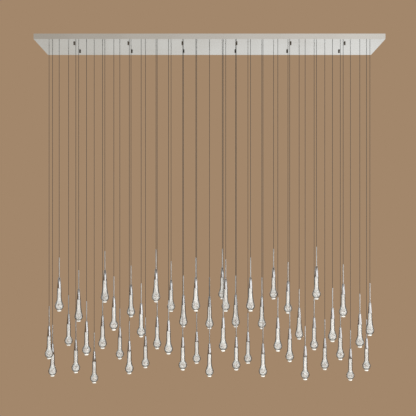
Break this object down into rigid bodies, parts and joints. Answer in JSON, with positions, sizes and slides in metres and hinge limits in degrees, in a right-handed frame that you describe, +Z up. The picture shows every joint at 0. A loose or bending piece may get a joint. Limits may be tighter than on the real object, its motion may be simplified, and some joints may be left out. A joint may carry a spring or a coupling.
{
  "type": "linear crystal chandelier",
  "caption": "Linear ceiling chandelier: a slim polished-steel canopy carries staggered rows of clear crystal drops that hang on thin cables and are lit from their caps.",
  "frame": {"origin": "on the ceiling plane, at the middle of the ceiling screws' pattern in the rails", "axes": "+Z up, +X along the canopy to the right, -Y towards the front row of drops"},
  "size_m": [1.829, 0.305, 1.878],
  "materials": {
    "polished_stainless": "polished stainless sheet",
    "zinc_plated_steel": "bright zinc plate",
    "dark_nickel": "dark nickel plate on turned brass",
    "white_plastic": "moulded",
    "circuit_board": "white solder mask on glass-fibre board",
    "crystal_glass": "clear seeded glass, fire polished"
  },
  "bodies": {
    "canopy": {"canopy_tray": "polished_stainless", "ceiling_rails": "zinc_plated_steel", "canopy_studs": "zinc_plated_steel", "knurled_nuts": "dark_nickel", "cable_grips": "dark_nickel", "led_drivers": "white_plastic", "distribution_boards": "circuit_board", "mains_terminal_block": "white_plastic", "inside_fixings": "zinc_plated_steel"},
    "drop_front_01": {"drop_front_01": "crystal_glass"},
    "drop_front_02": {"drop_front_02": "crystal_glass"},
    "drop_front_03": {"drop_front_03": "crystal_glass"},
    "drop_front_04": {"drop_front_04": "crystal_glass"},
    "drop_front_05": {"drop_front_05": "crystal_glass"},
    "drop_front_06": {"drop_front_06": "crystal_glass"},
    "drop_front_07": {"drop_front_07": "crystal_glass"},
    "drop_front_08": {"drop_front_08": "crystal_glass"},
    "drop_front_09": {"drop_front_09": "crystal_glass"},
    "drop_front_10": {"drop_front_10": "crystal_glass"},
    "drop_front_11": {"drop_front_11": "crystal_glass"},
    "drop_front_12": {"drop_front_12": "crystal_glass"},
    "drop_inner_front_01": {"drop_inner_front_01": "crystal_glass"},
    "drop_inner_front_02": {"drop_inner_front_02": "crystal_glass"},
    "drop_inner_front_03": {"drop_inner_front_03": "crystal_glass"},
    "drop_inner_front_04": {"drop_inner_front_04": "crystal_glass"},
    "drop_inner_front_05": {"drop_inner_front_05": "crystal_glass"},
    "drop_inner_front_06": {"drop_inner_front_06": "crystal_glass"},
    "drop_inner_front_07": {"drop_inner_front_07": "crystal_glass"},
    "drop_inner_front_08": {"drop_inner_front_08": "crystal_glass"},
    "drop_inner_front_09": {"drop_inner_front_09": "crystal_glass"},
    "drop_inner_front_10": {"drop_inner_front_10": "crystal_glass"},
    "drop_inner_front_11": {"drop_inner_front_11": "crystal_glass"},
    "drop_inner_front_12": {"drop_inner_front_12": "crystal_glass"},
    "drop_inner_front_13": {"drop_inner_front_13": "crystal_glass"},
    "drop_inner_back_01": {"drop_inner_back_01": "crystal_glass"},
    "drop_inner_back_02": {"drop_inner_back_02": "crystal_glass"},
    "drop_inner_back_03": {"drop_inner_back_03": "crystal_glass"},
    "drop_inner_back_04": {"drop_inner_back_04": "crystal_glass"},
    "drop_inner_back_05": {"drop_inner_back_05": "crystal_glass"},
    "drop_inner_back_06": {"drop_inner_back_06": "crystal_glass"},
    "drop_inner_back_07": {"drop_inner_back_07": "crystal_glass"},
    "drop_inner_back_08": {"drop_inner_back_08": "crystal_glass"},
    "drop_inner_back_09": {"drop_inner_back_09": "crystal_glass"},
    "drop_inner_back_10": {"drop_inner_back_10": "crystal_glass"},
    "drop_inner_back_11": {"drop_inner_back_11": "crystal_glass"},
    "drop_inner_back_12": {"drop_inner_back_12": "crystal_glass"},
    "drop_inner_back_13": {"drop_inner_back_13": "crystal_glass"},
    "drop_back_01": {"drop_back_01": "crystal_glass"},
    "drop_back_02": {"drop_back_02": "crystal_glass"},
    "drop_back_03": {"drop_back_03": "crystal_glass"},
    "drop_back_04": {"drop_back_04": "crystal_glass"},
    "drop_back_05": {"drop_back_05": "crystal_glass"},
    "drop_back_06": {"drop_back_06": "crystal_glass"},
    "drop_back_07": {"drop_back_07": "crystal_glass"},
    "drop_back_08": {"drop_back_08": "crystal_glass"},
    "drop_back_09": {"drop_back_09": "crystal_glass"},
    "drop_back_10": {"drop_back_10": "crystal_glass"},
    "drop_back_11": {"drop_back_11": "crystal_glass"},
    "drop_back_12": {"drop_back_12": "crystal_glass"},
    "drop_centre": {"drop_centre": "crystal_glass"}
  },
  "joints": [
    {"name": "drop_front_01_swing", "type": "hinge", "parent": "canopy", "child": "drop_front_01", "pos_m": [-0.7898, -0.11438, -0.0185], "axis": [0, 1, 0], "range_deg": [-1.5, 1.5]},
    {"name": "drop_front_02_swing", "type": "hinge", "parent": "canopy", "child": "drop_front_02", "pos_m": [-0.6462, -0.11438, -0.0185], "axis": [0, 1, 0], "range_deg": [-1.5, 1.5]},
    {"name": "drop_front_03_swing", "type": "hinge", "parent": "canopy", "child": "drop_front_03", "pos_m": [-0.5026, -0.11438, -0.0185], "axis": [0, 1, 0], "range_deg": [-1.5, 1.5]},
    {"name": "drop_front_04_swing", "type": "hinge", "parent": "canopy", "child": "drop_front_04", "pos_m": [-0.359, -0.11438, -0.0185], "axis": [0, 1, 0], "range_deg": [-1.5, 1.5]},
    {"name": "drop_front_05_swing", "type": "hinge", "parent": "canopy", "child": "drop_front_05", "pos_m": [-0.2154, -0.11438, -0.0185], "axis": [0, 1, 0], "range_deg": [-1.5, 1.5]},
    {"name": "drop_front_06_swing", "type": "hinge", "parent": "canopy", "child": "drop_front_06", "pos_m": [-0.0718, -0.11438, -0.0185], "axis": [0, 1, 0], "range_deg": [-1.5, 1.5]},
    {"name": "drop_front_07_swing", "type": "hinge", "parent": "canopy", "child": "drop_front_07", "pos_m": [0.0718, -0.11438, -0.0185], "axis": [0, 1, 0], "range_deg": [-1.5, 1.5]},
    {"name": "drop_front_08_swing", "type": "hinge", "parent": "canopy", "child": "drop_front_08", "pos_m": [0.2154, -0.11438, -0.0185], "axis": [0, 1, 0], "range_deg": [-1.5, 1.5]},
    {"name": "drop_front_09_swing", "type": "hinge", "parent": "canopy", "child": "drop_front_09", "pos_m": [0.359, -0.11438, -0.0185], "axis": [0, 1, 0], "range_deg": [-1.5, 1.5]},
    {"name": "drop_front_10_swing", "type": "hinge", "parent": "canopy", "child": "drop_front_10", "pos_m": [0.5026, -0.11438, -0.0185], "axis": [0, 1, 0], "range_deg": [-1.5, 1.5]},
    {"name": "drop_front_11_swing", "type": "hinge", "parent": "canopy", "child": "drop_front_11", "pos_m": [0.6462, -0.11438, -0.0185], "axis": [0, 1, 0], "range_deg": [-1.5, 1.5]},
    {"name": "drop_front_12_swing", "type": "hinge", "parent": "canopy", "child": "drop_front_12", "pos_m": [0.7898, -0.11438, -0.0185], "axis": [0, 1, 0], "range_deg": [-1.5, 1.5]},
    {"name": "drop_inner_front_01_swing", "type": "hinge", "parent": "canopy", "child": "drop_inner_front_01", "pos_m": [-0.8616, -0.03812, -0.0185], "axis": [0, 1, 0], "range_deg": [-1.5, 1.5]},
    {"name": "drop_inner_front_02_swing", "type": "hinge", "parent": "canopy", "child": "drop_inner_front_02", "pos_m": [-0.718, -0.03812, -0.0185], "axis": [0, 1, 0], "range_deg": [-1.5, 1.5]},
    {"name": "drop_inner_front_03_swing", "type": "hinge", "parent": "canopy", "child": "drop_inner_front_03", "pos_m": [-0.5744, -0.03812, -0.0185], "axis": [0, 1, 0], "range_deg": [-1.5, 1.5]},
    {"name": "drop_inner_front_04_swing", "type": "hinge", "parent": "canopy", "child": "drop_inner_front_04", "pos_m": [-0.4308, -0.03812, -0.0185], "axis": [0, 1, 0], "range_deg": [-1.5, 1.5]},
    {"name": "drop_inner_front_05_swing", "type": "hinge", "parent": "canopy", "child": "drop_inner_front_05", "pos_m": [-0.2872, -0.03812, -0.0185], "axis": [0, 1, 0], "range_deg": [-1.5, 1.5]},
    {"name": "drop_inner_front_06_swing", "type": "hinge", "parent": "canopy", "child": "drop_inner_front_06", "pos_m": [-0.1436, -0.03812, -0.0185], "axis": [0, 1, 0], "range_deg": [-1.5, 1.5]},
    {"name": "drop_inner_front_07_swing", "type": "hinge", "parent": "canopy", "child": "drop_inner_front_07", "pos_m": [0, -0.03812, -0.0185], "axis": [0, 1, 0], "range_deg": [-1.5, 1.5]},
    {"name": "drop_inner_front_08_swing", "type": "hinge", "parent": "canopy", "child": "drop_inner_front_08", "pos_m": [0.1436, -0.03812, -0.0185], "axis": [0, 1, 0], "range_deg": [-1.5, 1.5]},
    {"name": "drop_inner_front_09_swing", "type": "hinge", "parent": "canopy", "child": "drop_inner_front_09", "pos_m": [0.2872, -0.03812, -0.0185], "axis": [0, 1, 0], "range_deg": [-1.5, 1.5]},
    {"name": "drop_inner_front_10_swing", "type": "hinge", "parent": "canopy", "child": "drop_inner_front_10", "pos_m": [0.4308, -0.03812, -0.0185], "axis": [0, 1, 0], "range_deg": [-1.5, 1.5]},
    {"name": "drop_inner_front_11_swing", "type": "hinge", "parent": "canopy", "child": "drop_inner_front_11", "pos_m": [0.5744, -0.03812, -0.0185], "axis": [0, 1, 0], "range_deg": [-1.5, 1.5]},
    {"name": "drop_inner_front_12_swing", "type": "hinge", "parent": "canopy", "child": "drop_inner_front_12", "pos_m": [0.718, -0.03812, -0.0185], "axis": [0, 1, 0], "range_deg": [-1.5, 1.5]},
    {"name": "drop_inner_front_13_swing", "type": "hinge", "parent": "canopy", "child": "drop_inner_front_13", "pos_m": [0.8616, -0.03812, -0.0185], "axis": [0, 1, 0], "range_deg": [-1.5, 1.5]},
    {"name": "drop_inner_back_01_swing", "type": "hinge", "parent": "canopy", "child": "drop_inner_back_01", "pos_m": [-0.8616, 0.03812, -0.0185], "axis": [0, 1, 0], "range_deg": [-1.5, 1.5]},
    {"name": "drop_inner_back_02_swing", "type": "hinge", "parent": "canopy", "child": "drop_inner_back_02", "pos_m": [-0.718, 0.03812, -0.0185], "axis": [0, 1, 0], "range_deg": [-1.5, 1.5]},
    {"name": "drop_inner_back_03_swing", "type": "hinge", "parent": "canopy", "child": "drop_inner_back_03", "pos_m": [-0.5744, 0.03812, -0.0185], "axis": [0, 1, 0], "range_deg": [-1.5, 1.5]},
    {"name": "drop_inner_back_04_swing", "type": "hinge", "parent": "canopy", "child": "drop_inner_back_04", "pos_m": [-0.4308, 0.03812, -0.0185], "axis": [0, 1, 0], "range_deg": [-1.5, 1.5]},
    {"name": "drop_inner_back_05_swing", "type": "hinge", "parent": "canopy", "child": "drop_inner_back_05", "pos_m": [-0.2872, 0.03812, -0.0185], "axis": [0, 1, 0], "range_deg": [-1.5, 1.5]},
    {"name": "drop_inner_back_06_swing", "type": "hinge", "parent": "canopy", "child": "drop_inner_back_06", "pos_m": [-0.1436, 0.03812, -0.0185], "axis": [0, 1, 0], "range_deg": [-1.5, 1.5]},
    {"name": "drop_inner_back_07_swing", "type": "hinge", "parent": "canopy", "child": "drop_inner_back_07", "pos_m": [0, 0.03812, -0.0185], "axis": [0, 1, 0], "range_deg": [-1.5, 1.5]},
    {"name": "drop_inner_back_08_swing", "type": "hinge", "parent": "canopy", "child": "drop_inner_back_08", "pos_m": [0.1436, 0.03812, -0.0185], "axis": [0, 1, 0], "range_deg": [-1.5, 1.5]},
    {"name": "drop_inner_back_09_swing", "type": "hinge", "parent": "canopy", "child": "drop_inner_back_09", "pos_m": [0.2872, 0.03812, -0.0185], "axis": [0, 1, 0], "range_deg": [-1.5, 1.5]},
    {"name": "drop_inner_back_10_swing", "type": "hinge", "parent": "canopy", "child": "drop_inner_back_10", "pos_m": [0.4308, 0.03812, -0.0185], "axis": [0, 1, 0], "range_deg": [-1.5, 1.5]},
    {"name": "drop_inner_back_11_swing", "type": "hinge", "parent": "canopy", "child": "drop_inner_back_11", "pos_m": [0.5744, 0.03812, -0.0185], "axis": [0, 1, 0], "range_deg": [-1.5, 1.5]},
    {"name": "drop_inner_back_12_swing", "type": "hinge", "parent": "canopy", "child": "drop_inner_back_12", "pos_m": [0.718, 0.03812, -0.0185], "axis": [0, 1, 0], "range_deg": [-1.5, 1.5]},
    {"name": "drop_inner_back_13_swing", "type": "hinge", "parent": "canopy", "child": "drop_inner_back_13", "pos_m": [0.8616, 0.03812, -0.0185], "axis": [0, 1, 0], "range_deg": [-1.5, 1.5]},
    {"name": "drop_back_01_swing", "type": "hinge", "parent": "canopy", "child": "drop_back_01", "pos_m": [-0.7898, 0.11438, -0.0185], "axis": [0, 1, 0], "range_deg": [-1.5, 1.5]},
    {"name": "drop_back_02_swing", "type": "hinge", "parent": "canopy", "child": "drop_back_02", "pos_m": [-0.6462, 0.11438, -0.0185], "axis": [0, 1, 0], "range_deg": [-1.5, 1.5]},
    {"name": "drop_back_03_swing", "type": "hinge", "parent": "canopy", "child": "drop_back_03", "pos_m": [-0.5026, 0.11438, -0.0185], "axis": [0, 1, 0], "range_deg": [-1.5, 1.5]},
    {"name": "drop_back_04_swing", "type": "hinge", "parent": "canopy", "child": "drop_back_04", "pos_m": [-0.359, 0.11438, -0.0185], "axis": [0, 1, 0], "range_deg": [-1.5, 1.5]},
    {"name": "drop_back_05_swing", "type": "hinge", "parent": "canopy", "child": "drop_back_05", "pos_m": [-0.2154, 0.11438, -0.0185], "axis": [0, 1, 0], "range_deg": [-1.5, 1.5]},
    {"name": "drop_back_06_swing", "type": "hinge", "parent": "canopy", "child": "drop_back_06", "pos_m": [-0.0718, 0.11438, -0.0185], "axis": [0, 1, 0], "range_deg": [-1.5, 1.5]},
    {"name": "drop_back_07_swing", "type": "hinge", "parent": "canopy", "child": "drop_back_07", "pos_m": [0.0718, 0.11438, -0.0185], "axis": [0, 1, 0], "range_deg": [-1.5, 1.5]},
    {"name": "drop_back_08_swing", "type": "hinge", "parent": "canopy", "child": "drop_back_08", "pos_m": [0.2154, 0.11438, -0.0185], "axis": [0, 1, 0], "range_deg": [-1.5, 1.5]},
    {"name": "drop_back_09_swing", "type": "hinge", "parent": "canopy", "child": "drop_back_09", "pos_m": [0.359, 0.11438, -0.0185], "axis": [0, 1, 0], "range_deg": [-1.5, 1.5]},
    {"name": "drop_back_10_swing", "type": "hinge", "parent": "canopy", "child": "drop_back_10", "pos_m": [0.5026, 0.11438, -0.0185], "axis": [0, 1, 0], "range_deg": [-1.5, 1.5]},
    {"name": "drop_back_11_swing", "type": "hinge", "parent": "canopy", "child": "drop_back_11", "pos_m": [0.6462, 0.11438, -0.0185], "axis": [0, 1, 0], "range_deg": [-1.5, 1.5]},
    {"name": "drop_back_12_swing", "type": "hinge", "parent": "canopy", "child": "drop_back_12", "pos_m": [0.7898, 0.11438, -0.0185], "axis": [0, 1, 0], "range_deg": [-1.5, 1.5]},
    {"name": "drop_centre_swing", "type": "hinge", "parent": "canopy", "child": "drop_centre", "pos_m": [0.088, 0, -0.0185], "axis": [0, 1, 0], "range_deg": [-1.5, 1.5]}
  ]
}
